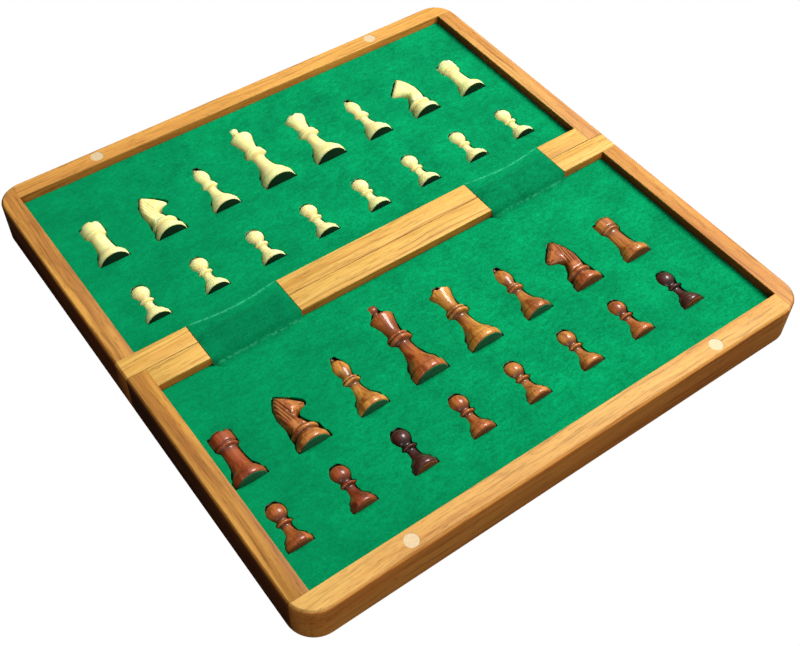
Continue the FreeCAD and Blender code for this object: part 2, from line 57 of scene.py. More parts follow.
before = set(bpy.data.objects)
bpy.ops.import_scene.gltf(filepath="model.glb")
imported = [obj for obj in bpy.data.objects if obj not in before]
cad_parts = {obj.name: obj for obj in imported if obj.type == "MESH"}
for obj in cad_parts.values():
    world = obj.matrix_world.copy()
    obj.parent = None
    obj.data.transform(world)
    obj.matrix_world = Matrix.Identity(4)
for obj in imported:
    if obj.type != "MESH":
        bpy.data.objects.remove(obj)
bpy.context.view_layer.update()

MM = 0.001
HALVES = {"a": "half_a", "b": "half_b"}
HALF_OF = {"light": "a", "dark": "b"}
TURNED_KINDS = ("king", "queen", "bishop", "rook", "pawn")
KNIGHT = "knight"


def foot_shares(disc, bell):
    """A piece's foot, a disc, a fine groove and a bell, by the heights at which its disc and its bell end."""
    rise = bell - disc
    return [
        (0.0, 0.0), (0.94, 0.0), (1.0, 0.15 * disc), (1.0, 0.8 * disc), (0.98, 0.95 * disc),
        (0.92, 1.02 * disc), (0.885, 1.06 * disc), (0.9, disc + 0.18 * rise), (0.885, disc + 0.34 * rise),
        (0.83, disc + 0.6 * rise), (0.75, disc + 0.85 * rise), (0.69, bell),
    ]


# Half outlines of the turned pieces, from the underside up: shares of the base radius and of the height
TURNED_SHARES = {
    "king": foot_shares(0.085, 0.195) + [
        (0.59, 0.235), (0.51, 0.285), (0.45, 0.35), (0.43, 0.43), (0.44, 0.455), (0.6, 0.462), (0.7, 0.48),
        (0.7, 0.497), (0.61, 0.508), (0.54, 0.512), (0.6, 0.52), (0.65, 0.532), (0.63, 0.548), (0.5, 0.556),
        (0.45, 0.57), (0.46, 0.61), (0.54, 0.68), (0.64, 0.745), (0.72, 0.785), (0.725, 0.797),
        (0.66, 0.812), (0.52, 0.832), (0.36, 0.852), (0.24, 0.863), (0.19, 0.872), (0.2, 0.884),
        (0.29, 0.898), (0.355, 0.92), (0.365, 0.943), (0.32, 0.97), (0.19, 0.993), (0.0, 1.0),
    ],
    "queen": foot_shares(0.09, 0.205) + [
        (0.59, 0.25), (0.51, 0.305), (0.45, 0.38), (0.42, 0.465), (0.43, 0.5), (0.58, 0.507), (0.68, 0.525),
        (0.68, 0.545), (0.59, 0.557), (0.53, 0.562), (0.6, 0.572), (0.64, 0.588), (0.6, 0.606),
        (0.48, 0.615), (0.44, 0.63), (0.44, 0.665), (0.48, 0.73), (0.56, 0.8), (0.66, 0.86), (0.71, 0.885),
        (0.71, 0.9), (0.64, 0.905), (0.52, 0.9), (0.4, 0.915), (0.28, 0.938), (0.15, 0.95), (0.13, 0.958),
        (0.18, 0.966), (0.2, 0.98), (0.12, 0.998), (0.0, 1.0),
    ],
    "bishop": foot_shares(0.095, 0.215) + [
        (0.57, 0.26), (0.48, 0.32), (0.42, 0.39), (0.4, 0.45), (0.42, 0.478), (0.54, 0.485), (0.64, 0.502),
        (0.64, 0.522), (0.55, 0.533), (0.49, 0.538), (0.55, 0.547), (0.59, 0.56), (0.56, 0.577),
        (0.45, 0.586), (0.42, 0.6), (0.43, 0.625), (0.52, 0.675), (0.585, 0.73), (0.58, 0.785),
        (0.49, 0.855), (0.33, 0.91), (0.17, 0.937), (0.12, 0.946), (0.16, 0.957), (0.18, 0.973),
        (0.12, 0.997), (0.0, 1.0),
    ],
    "rook": foot_shares(0.115, 0.235) + [
        (0.64, 0.29), (0.59, 0.37), (0.56, 0.47), (0.545, 0.58), (0.55, 0.655), (0.58, 0.685),
        (0.69, 0.695), (0.735, 0.715), (0.715, 0.742), (0.65, 0.752), (0.65, 0.766), (0.72, 0.78),
        (0.74, 0.8), (0.74, 0.9), (0.74, 0.945), (0.725, 0.955), (0.5, 0.955), (0.47, 0.945), (0.46, 0.9),
        (0.0, 0.9),
    ],
    "pawn": foot_shares(0.105, 0.23) + [
        (0.57, 0.275), (0.48, 0.34), (0.44, 0.41), (0.43, 0.465), (0.45, 0.49), (0.58, 0.5), (0.66, 0.518),
        (0.66, 0.54), (0.57, 0.556), (0.48, 0.568), (0.44, 0.588), (0.47, 0.623), (0.624, 0.668),
        (0.736, 0.734), (0.759, 0.807), (0.691, 0.878), (0.539, 0.938), (0.322, 0.98), (0.106, 0.998),
        (0.0, 1.0),
    ],
    "knight": foot_shares(0.095, 0.2) + [
        (0.7, 0.21), (0.8, 0.222), (0.86, 0.245), (0.85, 0.272), (0.76, 0.29), (0.64, 0.3), (0.6, 0.33),
        (0.55, 0.35), (0.0, 0.37),
    ],
}
# A knight's carved head, facing +X, from its chest round to its nape, in the same shares
KNIGHT_HEAD_SHARES = [
    (0.58, 0.3), (0.47, 0.36), (0.36, 0.42), (0.26, 0.475), (0.2, 0.52), (0.24, 0.555), (0.4, 0.585),
    (0.62, 0.605), (0.82, 0.62), (0.97, 0.64), (1.06, 0.672), (1.05, 0.712), (0.93, 0.752), (0.72, 0.805),
    (0.47, 0.865), (0.24, 0.92), (0.08, 0.96), (-0.06, 1.0), (-0.19, 0.99), (-0.32, 0.955), (-0.5, 0.885),
    (-0.66, 0.79), (-0.77, 0.69), (-0.82, 0.58), (-0.79, 0.48), (-0.72, 0.4), (-0.66, 0.35), (-0.64, 0.3),
]
# Half outlines of the slots cut in the velvet, drawn close round the pieces
SLOT_SHARES = {
    "king": [
        (1.0, 0.0), (1.0, 0.1), (0.89, 0.12), (0.89, 0.175), (0.62, 0.25), (0.48, 0.35), (0.46, 0.44),
        (0.7, 0.475), (0.7, 0.54), (0.5, 0.575), (0.56, 0.69), (0.735, 0.79), (0.44, 0.86), (0.28, 0.89),
        (0.27, 0.965),
    ],
    "queen": [
        (1.0, 0.0), (1.0, 0.105), (0.89, 0.125), (0.89, 0.185), (0.62, 0.265), (0.48, 0.36), (0.46, 0.485),
        (0.69, 0.52), (0.68, 0.595), (0.49, 0.64), (0.53, 0.77), (0.72, 0.89), (0.32, 0.955), (0.2, 1.0),
    ],
    "bishop": [
        (1.0, 0.0), (1.0, 0.11), (0.89, 0.13), (0.89, 0.195), (0.6, 0.275), (0.45, 0.38), (0.43, 0.465),
        (0.65, 0.5), (0.62, 0.565), (0.46, 0.61), (0.6, 0.72), (0.58, 0.8), (0.3, 0.925), (0.14, 0.97),
    ],
    "rook": [
        (1.0, 0.0), (1.0, 0.13), (0.89, 0.15), (0.88, 0.21), (0.66, 0.33), (0.6, 0.5), (0.59, 0.655),
        (0.75, 0.71), (0.75, 1.0),
    ],
    "pawn": [
        (1.0, 0.0), (1.0, 0.12), (0.88, 0.145), (0.86, 0.205), (0.58, 0.3), (0.47, 0.4), (0.48, 0.47),
        (0.71, 0.515), (0.68, 0.56), (0.52, 0.6), (0.7, 0.69), (0.775, 0.79), (0.71, 0.88), (0.54, 0.96),
        (0.3, 1.0),
    ],
}
# A knight's whole slot, from the foot's front round to its back
KNIGHT_SLOT_SHARES = [
    (1.0, 0.0), (1.0, 0.11), (0.88, 0.14), (0.86, 0.28), (0.55, 0.36), (0.27, 0.5), (0.45, 0.575),
    (0.98, 0.625), (1.07, 0.68), (0.97, 0.75), (0.48, 0.875), (0.06, 0.975), (-0.06, 1.0), (-0.26, 0.98),
    (-0.66, 0.8), (-0.82, 0.61), (-0.76, 0.41), (-0.86, 0.28), (-0.88, 0.14), (-1.0, 0.11), (-1.0, 0.0),
]
# The course of a hinge cover over the fold, from the far insert to the near one, in mm, without its crown
COVER_COURSE = [
    (12.6, 15.9), (12.0, 16.7), (11.3, 18.4), (10.8, 19.7), (10.2, 20.35), (9.2, 20.55), (6.0, 20.58),
    (3.0, 20.6), (1.5, 20.6), (0.0, 20.6), (-1.5, 20.6), (-3.0, 20.6), (-6.0, 20.58), (-8.4, 20.5),
    (-9.4, 20.25), (-10.2, 19.7), (-11.0, 18.85), (-11.9, 17.75), (-12.8, 16.85), (-13.7, 16.3),
    (-14.6, 15.95), (-15.6, 15.65),
]
# Woods of the rails: name, way of the grain, width of its figure in mm, and the shares of red, green and
# blue that the painted shade leaves below the rim
RAIL_WOODS = {
    "rail": ("sheesham_outer_rail", "X", 9.0, (0.95, 0.66, 0.44)),
    "near": ("sheesham_near_rail", "X", 9.0, (0.95, 0.66, 0.44)),
    "side": ("sheesham_side_rail", "Y", 5.0, (0.42, 0.24, 0.1)),
    "right": ("sheesham_right_rail", "Y", 5.0, (0.36, 0.2, 0.08)),
    "bar": ("sheesham_fold_bar", "X", 3.2, (0.95, 0.54, 0.3)),
}

# Tone of each dark piece's wood, by name; the others take the common tone
DARK_TONES = {
    "dark_queen": "golden", "dark_bishop_left": "golden",
    "dark_knight_left": "amber", "dark_bishop_right": "amber", "dark_rook_right": "amber",
    "dark_pawn_5": "amber", "dark_pawn_6": "amber",
    "dark_rook_left": "red", "dark_pawn_2": "red",
    "dark_pawn_3": "dusky", "dark_pawn_8": "dusky",
}
# Dark pieces whose worn pads have gone brown
BROWN_PADS = ("dark_pawn", "dark_knight_right", "dark_rook_right")


def linear(code):
    """An sRGB hex colour as linear red, green and blue."""
    shares = [int(code[i:i + 2], 16) / 255 for i in (0, 2, 4)]
    return tuple(c / 12.92 if c <= 0.04045 else ((c + 0.055) / 1.055) ** 2.4 for c in shares)


WHITE = linear("FFFFFF")
SEAM_DARK = linear("693F1D")
PILE_SHEEN = linear("59EDBC")
GREY_PAPER = linear("454545")


def colour_property(name, description, code):
    return bpy.props.FloatVectorProperty(
        name=name, description=description, subtype="COLOR", size=3, min=0, max=1, default=linear(code))


def number_property(name, description, default, **kind):
    return bpy.props.FloatProperty(name=name, description=description, default=default, **kind)


def length_property(name, description, millimetres):
    return number_property(
        name, description, millimetres * MM, subtype="DISTANCE", unit="LENGTH", min=0, precision=5)


def angle_property(name, description, degrees):
    return number_property(name, description, math.radians(degrees), subtype="ANGLE", unit="ROTATION")


class CaseSettings(bpy.types.PropertyGroup):
    """Sizes and colours of the wooden case."""

    edge: length_property("Rail edge", "How far the rails' sharp edges are rounded", 0.3)
    rail_pale: colour_property("Rail, pale grain", "Early wood of the rails", "DEA44E")
    rail_deep: colour_property("Rail, deep grain", "Late wood of the rails", "CE9042")
    side_pale: colour_property("Side rail, pale grain", "Early wood of the rails that run across", "D29842")
    side_deep: colour_property("Side rail, deep grain", "Late wood of the rails that run across", "9C622A")
    right_pale: colour_property("Right rail, pale grain", "Early wood of the right side rails", "D8A256")
    right_deep: colour_property("Right rail, deep grain", "Late wood of the right side rails", "C47E38")
    near_pale: colour_property("Near rail, pale grain", "Early wood of the near outer rail", "E2B05E")
    near_deep: colour_property("Near rail, deep grain", "Late wood of the near outer rail", "D09448")
    bar_pale: colour_property("Fold bar, pale grain", "Early wood of the fold bars", "E6BA60")
    bar_deep: colour_property("Fold bar, deep grain", "Late wood of the fold bars", "D69E48")
    dark_square: colour_property("Dark squares", "Dark playing squares", "5E3420")
    light_square: colour_property("Light squares", "Light playing squares", "D8B478")
    brass: colour_property("Brass", "Hinge leaves and screws", "C8A24A")
    steel: colour_property("Steel", "Hinge pins", "B8B8B4")
    plating: colour_property("Plating", "Closing magnets", "DAC095")


class VelvetSettings(bpy.types.PropertyGroup):
    """Sizes and colours of the velvet."""

    slot_gap: length_property("Slot gap", "Room left round a piece in its slot", 0.55)
    lip: length_property("Slot lip", "Width of the soft lip round a slot", 0.3)
    swell: length_property("Swell", "How far the velvet rises and falls over its foam", 0.22)
    cover_thickness: length_property("Cover thickness", "Thickness of a hinge cover", 0.4)
    pile_pale: colour_property("Pile, pale", "Velvet where its pile leans to the light", "00985C")
    pile_deep: colour_property("Pile, deep", "Velvet where its pile leans away", "007A49")
    # Painted shade: the dark green painted on the slots' walls
    slot_wall_shade: colour_property("Cut foam", "Foam in the walls of the slots", "0C3A26")
    backing: colour_property("Backing", "Loose threads along the cut edges", "B4CCC8")
    # Painted highlight: the pale colour painted along the hinge covers' creases
    crease_highlight: colour_property("Open pile", "Velvet where a crease opens its pile", "4FD49A")


class PieceSettings(bpy.types.PropertyGroup):
    """Sizes and colours of the chess pieces."""

    pad_thickness: length_property("Pad thickness", "Thickness of the felt pad under a piece", 0.5)
    knight_thickness: length_property("Knight's head", "Thickness of a knight's carved head", 8.6)
    mane_depth: length_property("Mane", "Depth of the grooves combed into a knight's mane", 0.4)
    light_wood: colour_property("Light pieces", "Wood of the light pieces", "FFF2A8")
    dark_wood: colour_property("Dark pieces", "Common tone of the dark pieces", "B4662C")
    golden_wood: colour_property("Golden dark pieces", "Tone of the dark pieces with sapwood", "D0903C")
    amber_wood: colour_property("Amber dark pieces", "Tone of the paler dark pieces", "C47E38")
    red_wood: colour_property("Red dark pieces", "Tone of the redder dark pieces", "9A4A22")
    dusky_wood: colour_property("Dusky dark pieces", "Tone of the darkest pieces", "4E241A")
    # Painted shade: the light pieces' felt is painted darker than the dark pieces' felt
    light_pad: colour_property("Pads, light pieces", "Felt under the light pieces", "0A3318")
    dark_pad: colour_property("Pads, dark pieces", "Felt under the dark pieces", "1F6440")
    brown_pad: colour_property("Pads, worn", "Felt that has gone brown", "7A4622")


class StageSettings(bpy.types.PropertyGroup):
    """Where the camera and the lamps stand."""

    azimuth: angle_property("Azimuth", "Camera's turn round the case", -37.1395)
    elevation: angle_property("Elevation", "Camera's height above the horizon", 50.601)
    roll: angle_property("Roll", "Camera's tilt about its own line of sight", 1.4042)
    distance: length_property("Distance", "From the camera to its target", 510.4)
    target: bpy.props.FloatVectorProperty(
        name="Target", description="Point that the camera looks at", subtype="TRANSLATION", unit="LENGTH",
        size=3, precision=5, default=(-0.01138, -0.02604, 0.0))
    lens: number_property("Lens", "Focal length", 52.762, unit="CAMERA")
    key_power: number_property("Key lamp", "Power of the lamp on the right", 17.2, unit="POWER")
    fill_power: number_property("Fill lamp", "Power of the lamp in front", 2.8, unit="POWER")
    sky: number_property("Sky", "Strength of the light from all round", 0.32, subtype="FACTOR", min=0, max=1)


GROUPS = {
    "chess_case": CaseSettings, "chess_velvet": VelvetSettings, "chess_pieces": PieceSettings,
    "chess_stage": StageSettings,
}


def per(millimetres):
    """Texture scale at which a pattern repeats after so many millimetres."""
    return 1 / (millimetres * MM)


def node(tree, kind, inputs=None, stops=(), **settings):
    """Adds a node with its settings, ramp stops, and values or links for its inputs.

    A node that is given for an input stands for the first of its outputs that is in use.
    """
    made = tree.nodes.new("ShaderNode" + kind)
    for key, value in settings.items():
        setattr(made, key, value)
    for i, (position, colour) in enumerate(stops):
        elements = made.color_ramp.elements
        element = elements[i] if i < len(elements) else elements.new(position)
        element.position = position
        element.color = (*colour, 1)
    for key, value in (inputs or {}).items():
        socket = made.inputs[key]
        if isinstance(value, bpy.types.Node):
            value = next(output for output in value.outputs if output.enabled)
        if isinstance(value, bpy.types.NodeSocket):
            tree.links.new(value, socket)
        else:
            socket.default_value = (*value, 1) if socket.type == "RGBA" else value
    return made


def clouds(tree, place, size, detail, roughness=0.5, distortion=0.0):
    """Noise whose clouds measure so many mm, the same all round or along each axis."""
    scale = 1.0
    if isinstance(size, tuple):
        place = node(tree, "Mapping", {"Vector": place, "Scale": tuple(per(length) for length in size)})
    else:
        scale = per(size)
    return node(tree, "TexNoise", {
        "Vector": place, "Scale": scale, "Detail": detail, "Roughness": roughness, "Distortion": distortion})


def grain(along, length, width):
    """Size of a grain that is long in one axis and narrow in the other two."""
    return tuple(length if axis == along else width for axis in "XYZ")


def ramp(tree, value, *stops):
    return node(tree, "ValToRGB", {0: value}, stops)


def spread(tree, value, start, end, low=0.0, high=1.0):
    """Spreads the values from start to end over low to high, and holds those beyond."""
    return node(tree, "MapRange", {0: value, 1: start, 2: end, 3: low, 4: high})


def calc(tree, operation, *values):
    return node(tree, "Math", dict(enumerate(values)), operation=operation)


def mix(tree, share, under, over, blend_type="MIX"):
    return node(tree, "Mix", {0: share, 6: under, 7: over}, data_type="RGBA", blend_type=blend_type)


def multiplied(tree, share, under, over):
    return mix(tree, share, under, over, "MULTIPLY")


def bump(tree, height, strength, millimetres):
    return node(tree, "Bump", {"Height": height, "Strength": strength, "Distance": millimetres * MM})


def new_material(name):
    """A new material and its empty tree."""
    material = bpy.data.materials.new(name)
    material.use_nodes = True
    material.node_tree.nodes.clear()
    return material, material.node_tree


def dressed(material, inputs):
    """Closes a material with a shader that has these inputs."""
    tree = material.node_tree
    node(tree, "OutputMaterial", {0: node(tree, "BsdfPrincipled", inputs)})
    return material


def shaded(colour, share):
    return tuple(c * share for c in colour)


def planed_wood(name, along, pale, deep, figure, rim=None, shade_below_rim=None, seam=False):
    """Oiled wood, planed: long streaks of pale and deep grain with short dark pores, and a soft shine.

    Below the rim the faces are painted darker and browner, as painted shade on the sides, and a seam at the
    fold is painted dark in patches.
    """
    material, tree = new_material(name)
    place = node(tree, "TexCoord").outputs["Object"]
    drift = clouds(tree, place, 45, 2.0)
    bend = node(tree, "VectorMath", {0: drift.outputs["Color"], 1: (0.5, 0.5, 0.5)}, operation="SUBTRACT")
    waver = node(tree, "VectorMath", {0: bend, "Scale": 5 * MM}, operation="SCALE")
    bent = node(tree, "VectorMath", {0: place, 1: waver}, operation="ADD")
    bands = clouds(tree, bent, grain(along, 130, figure), 3.0, 0.6)
    streaks = clouds(tree, bent, grain(along, 60, 1.3), 4.0, 0.65)
    pores = clouds(tree, place, grain(along, 5, 0.32), 1.0)
    middle = [(a + b) / 2 for a, b in zip(pale, deep)]
    tone = ramp(tree, bands, (0.33, deep), (0.5, middle), (0.62, pale))
    lines = ramp(tree, streaks, (0.34, (0.5, 0.42, 0.34)), (0.46, (0.9, 0.87, 0.84)), (0.6, WHITE))
    specks = ramp(tree, pores, (0.3, (0.45, 0.36, 0.28)), (0.4, WHITE))
    tint = multiplied(tree, 0.55, multiplied(tree, 0.8, tone, lines), specks)
    axes = node(tree, "SeparateXYZ", {0: place}).outputs
    # Painted shade: the faces below the rim are darkened by these shares of red, green and blue
    if rim is not None:
        shade_mask = spread(tree, axes["Z"], rim - 0.8 * MM, rim - 0.35 * MM, 1.0, 0.0)
        tint = multiplied(tree, shade_mask, tint, shade_below_rim)
    # A dark line is painted along the seam at the fold, in patches
    if seam:
        line = spread(tree, calc(tree, "ABSOLUTE", axes["Y"]), 0.12 * MM, 0.4 * MM, 0.75, 0.0)
        seam_patches = spread(tree, clouds(tree, place, 26, 3.0), 0.38, 0.6, 0.15, 1.0)
        tint = mix(tree, calc(tree, "MULTIPLY", line, seam_patches), tint, SEAM_DARK)
    return dressed(material, {
        "Base Color": tint, "Roughness": spread(tree, streaks, 0.0, 1.0, 0.5, 0.66),
        "Normal": bump(tree, pores, 0.25, 0.1), "IOR": 1.5, "Specular IOR Level": 0.25})


def turned_wood(name, colour, depth, lacquer, glow=0.0):
    """Close-grained wood, turned and waxed: streaks along it, its grooves painted dark with wax and painted
    shade, and its crests painted pale as painted highlights.

    Pale wood lets some light in below its surface, so its shaded sides stay bright.
    """
    material, tree = new_material(name)
    place = node(tree, "TexCoord").outputs["Object"]
    deep = [c * (1 - depth * share) for c, share in zip(colour, (0.85, 1.15, 1.3))]
    pale = [min(1, c * (1 + depth * share)) for c, share in zip(colour, (0.3, 0.5, 0.6))]
    wax_and_shade = shaded(deep, max(0.35, 1 - 1.1 * depth))
    bands = clouds(tree, place, grain("Y", 22, 3.4), 3.0, distortion=0.6)
    streaks = clouds(tree, place, grain("Y", 14, 0.7), 3.0, 0.6)
    tone = ramp(tree, bands, (0.34, deep), (0.52, colour), (0.68, pale))
    lines = ramp(tree, streaks, (0.36, (1 - 0.5 * depth, 1 - depth, 1 - 1.3 * depth)), (0.52, WHITE))
    # Grooves are painted dark, with wax and painted shade; crests are painted pale, as painted highlights
    groove = node(tree, "Attribute", attribute_name="groove").outputs["Fac"]
    waxed_and_shaded = mix(tree, groove, multiplied(tree, 0.85, tone, lines), wax_and_shade)
    crest_highlighted = mix(tree, spread(tree, groove, 0.0, -1.0, 0.0, 0.8), waxed_and_shaded, pale)
    return dressed(material, {
        "Base Color": crest_highlighted, "Roughness": 0.5, "Normal": bump(tree, streaks, 0.08, 0.1), "IOR": 1.5,
        "Specular IOR Level": 0.25, "Coat Weight": lacquer, "Coat Roughness": 0.12, "Subsurface Weight": glow,
        "Subsurface Radius": (1.0, 0.75, 0.35), "Subsurface Scale": 4 * MM})


def velvet(name, settings, cut_level=None, creases=()):
    """Cotton velvet on foam: short pile that scatters light, brushed in patches, and painted darker to the
    left as painted shade.

    Below cut_level the slots' walls are painted dark green as painted shade, with pale threads where the cut
    is frayed.
    Along its creases pale lines are painted as painted highlights: each has its place across the fold, its
    bow, how much of it is broken up, its strength, and the two places along the fold between which it bows.
    Between two creases the velvet is painted darker as painted shade.
    The pile itself is finer than the picture shows, so its tufts are drawn at 0.9 mm.
    """
    material, tree = new_material(name)
    place = node(tree, "TexCoord").outputs["Object"]
    axes = node(tree, "SeparateXYZ", {0: place}).outputs
    patches = clouds(tree, place, 18, 4.0, 0.6)
    strokes = clouds(tree, place, (4.2, 1.9, 1.9), 4.0, 0.8)
    pile = clouds(tree, place, 0.9, 2.0)
    tone = ramp(tree, patches, (0.26, settings.pile_deep), (0.74, settings.pile_pale))
    marks = ramp(tree, strokes, (0.34, (0.66, 0.73, 0.7)), (0.66, (1.2, 1.16, 1.18)))
    tufts = ramp(tree, pile, (0.34, (0.68, 0.78, 0.76)), (0.66, (1.4, 1.2, 1.24)))
    colour = multiplied(tree, 0.8, multiplied(tree, 0.8, tone, marks), tufts)
    # Painted shade: the slots' walls below cut_level are painted dark green
    if cut_level is not None:
        depth = spread(tree, axes["Z"], cut_level - 1.1 * MM, cut_level - 0.45 * MM)
        colour = mix(tree, depth, settings.slot_wall_shade, colour)
        loose = spread(tree, clouds(tree, place, 2.2, 2.0), 0.46, 0.6)
        frayed = node(tree, "Attribute", attribute_name="frayed").outputs["Fac"]
        threads = calc(tree, "MULTIPLY", spread(tree, frayed, 0.3, 0.75), loose)
        colour = mix(tree, threads, colour, settings.backing)
    # Painted shade: the velvet is painted darker towards the left
    painted_shade_left = spread(tree, axes["X"], -115 * MM, 10 * MM, 0.45, 0.0)
    colour = mix(tree, painted_shade_left, colour, settings.pile_deep)
    # Painted shade: between the two creases the velvet is painted darker
    if creases:
        far, near = (crease[0] for crease in creases)
        turned = spread(tree, axes["Y"], far, far - 9 * MM)
        back = spread(tree, axes["Y"], near - 2 * MM, near + 2 * MM)
        colour = multiplied(tree, calc(tree, "MULTIPLY", turned, back), colour, (0.76, 0.79, 0.81))
    # Painted highlights: a pale line painted along each crease
    for crease, bow, breaks, strength, ends in creases:
        share = spread(tree, calc(tree, "ABSOLUTE", axes["X"]), *ends, -1.0, 1.0)
        bowed = spread(tree, calc(tree, "MULTIPLY", share, share), 0.0, 1.0, crease - bow, crease)
        reach = calc(tree, "ABSOLUTE", calc(tree, "SUBTRACT", axes["Y"], bowed))
        line = spread(tree, reach, 0.1 * MM, 0.65 * MM, strength, 0.0)
        kept = spread(tree, clouds(tree, place, 2.0, 1.0), breaks, breaks + 0.15)
        colour = mix(tree, calc(tree, "MULTIPLY", line, kept), colour, settings.crease_highlight)
    relief = bump(tree, calc(tree, "ADD", pile, strokes), 0.45, 0.25)
    return dressed(material, {
        "Base Color": colour, "Roughness": 0.95, "Normal": relief, "Specular IOR Level": 0.05,
        "Sheen Weight": 0.06, "Sheen Roughness": 0.4, "Sheen Tint": PILE_SHEEN})


def wool_felt(name, colour):
    """Pressed wool felt: matt, with loose fibres that break up its colour."""
    material, tree = new_material(name)
    place = node(tree, "TexCoord").outputs["Object"]
    fibres = clouds(tree, place, 0.6, 3.0, distortion=1.0)
    tone = ramp(tree, fibres, (0.35, shaded(colour, 0.6)), (0.65, shaded(colour, 1.15)))
    return dressed(material, {
        "Base Color": tone, "Roughness": 0.95, "Normal": bump(tree, fibres, 0.4, 0.15),
        "Specular IOR Level": 0.1, "Sheen Weight": 0.03})


def metal(name, colour, roughness, grit, metallic=1.0):
    """Plated or rolled metal: its shine broken by fine rubbing marks. A dull coat makes it less metallic."""
    material, tree = new_material(name)
    place = node(tree, "TexCoord").outputs["Object"]
    rubs = clouds(tree, place, grit, 4.0, 0.7)
    tone = ramp(tree, rubs, (0.3, shaded(colour, 0.82)), (0.65, colour))
    gloss = spread(tree, rubs, 0.0, 1.0, roughness - 0.08, roughness + 0.12)
    return dressed(material, {"Base Color": tone, "Metallic": metallic, "Roughness": gloss})


def finished(bm, name, material, smooth_angle=None):
    """Turns a bmesh into an object at the origin, smooth but for edges sharper than the angle."""
    for face in bm.faces:
        face.smooth = True
    if smooth_angle is not None:
        for edge in bm.edges:
            edge.smooth = len(edge.link_faces) == 2 and edge.calc_face_angle(0) < smooth_angle
    mesh = bpy.data.meshes.new(name)
    bm.to_mesh(mesh)
    bm.free()
    made = bpy.data.objects.new(name, mesh)
    made.data.materials.append(material)
    bpy.context.scene.collection.objects.link(made)
    return made


def face_outwards(bm):
    bmesh.ops.recalc_face_normals(bm, faces=list(bm.faces))


def verts_in(geom):
    return [part for part in geom if isinstance(part, bmesh.types.BMVert)]


def rounded(bm, geom, offset, segments=2, affect="EDGES"):
    bmesh.ops.bevel(bm, geom=geom, offset=offset, segments=segments, profile=0.5, affect=affect, material=-1,
                    clamp_overlap=True)


def sharp_edges(bm, angle):
    return [e for e in bm.edges if len(e.link_faces) == 2 and e.calc_face_angle(0) > angle]


def cut_across(bm, axis, places):
    """Cuts a mesh made in mm with planes across one axis."""
    normal = Vector([float(i == axis) for i in range(3)])
    for place in places:
        bmesh.ops.bisect_plane(bm, geom=[*bm.verts, *bm.edges, *bm.faces], dist=0.001,
                               plane_co=normal * place, plane_no=normal)


def paint(node_name, material):
    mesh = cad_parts[node_name].data
    mesh.materials.clear()
    mesh.materials.append(material)


def chess_pieces(kinds=(*TURNED_KINDS, KNIGHT), colours=tuple(HALF_OF)):
    """Name and kind of each chess piece of these kinds and colours."""
    for colour in colours:
        for name in sorted(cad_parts):
            parts = name.split("_")
            if parts[0] == colour and parts[1] in kinds:
                yield name, parts[1]


def stance(name, kind):
    """Middle of the foot, base radius and height of a piece in its slot, and the side that it faces."""
    low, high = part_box(name)
    radius = (high.z - low.z) / 2
    facing = -1 if name.endswith("right") else 1
    x = high.x - radius if kind == KNIGHT and facing < 0 else low.x + radius
    return Vector((x, low.y, low.z + radius)), radius, high.y - low.y, facing


def hung(x, z, facing, amount=1.0):
    """Where a point of a knight's head lies, in shares of its size: left-hand knights hang their heads."""
    neck, back, down = 0.5, 0.13, 0.045
    share = amount * max(0, z - neck) / (1 - neck) if facing > 0 else 0
    return x - back * share, z - down * share


class CHESS_OT_rails(bpy.types.Operator):
    """Rails and fold bars with eased edges and oiled wood"""

    bl_idname = "chess_case.rails"
    bl_label = "Rails and fold bars"

    def execute(self, context):
        case = context.scene.chess_case
        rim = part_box("outer_rail_a")[1].z
        woods = {}
        for kind, (name, along, figure, shade_below_rim) in RAIL_WOODS.items():
            pale, deep = getattr(case, kind + "_pale"), getattr(case, kind + "_deep")
            woods[kind] = planed_wood(name, along, pale, deep, figure, rim, shade_below_rim, seam=kind == "bar")
        for part in ("outer_rail", "corner_side_rail", "fold_bar", "fold_side_rail"):
            for half, body in HALVES.items():
                name = f"{part}_{half}"
                edge = case.edge * (0.5 if part == "fold_bar" else 1)
                wood = woods[self.kind_of_wood(name)]
                rail = finished(self.eased(name, edge), name + "_wood", wood, math.radians(40))
                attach(rail, body)
                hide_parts(name)
        return {"FINISHED"}

    def kind_of_wood(self, name):
        if "side_rail" in name:
            return "right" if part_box(name)[0].x > 0 else "side"
        if name == "outer_rail_b":
            return "near"
        return "bar" if name.startswith("fold_bar") else "rail"

    def eased(self, name, width):
        """A copy of a rail's solid with its long sharp edges rounded."""
        bm = bmesh.new()
        bm.from_mesh(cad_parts[name].data)
        bmesh.ops.remove_doubles(bm, verts=bm.verts, dist=0.001 * MM)
        bmesh.ops.dissolve_limit(bm, angle_limit=math.radians(1), verts=bm.verts, edges=bm.edges)
        shortest = 1.2 * MM
        sharp = [e for e in sharp_edges(bm, math.radians(30)) if e.calc_length() > shortest]
        rounded(bm, sharp, width)
        return bm


class CHESS_OT_underside(bpy.types.Operator):
    """Base panels and playing squares on the outside of the case"""

    bl_idname = "chess_case.underside"
    bl_label = "Panels and squares"

    def execute(self, context):
        case = context.scene.chess_case
        panel = planed_wood("sheesham_panel", "X", case.rail_pale, case.rail_deep, 9.0)
        dark = planed_wood("rosewood_veneer", "Y", case.dark_square, shaded(case.dark_square, 0.45), 4.0)
        light = planed_wood("maple_veneer", "Y", case.light_square, shaded(case.light_square, 0.75), 4.0)
        for half in HALVES:
            paint("base_panel_" + half, panel)
            paint("dark_squares_" + half, dark)
            paint("light_squares_" + half, light)
        return {"FINISHED"}


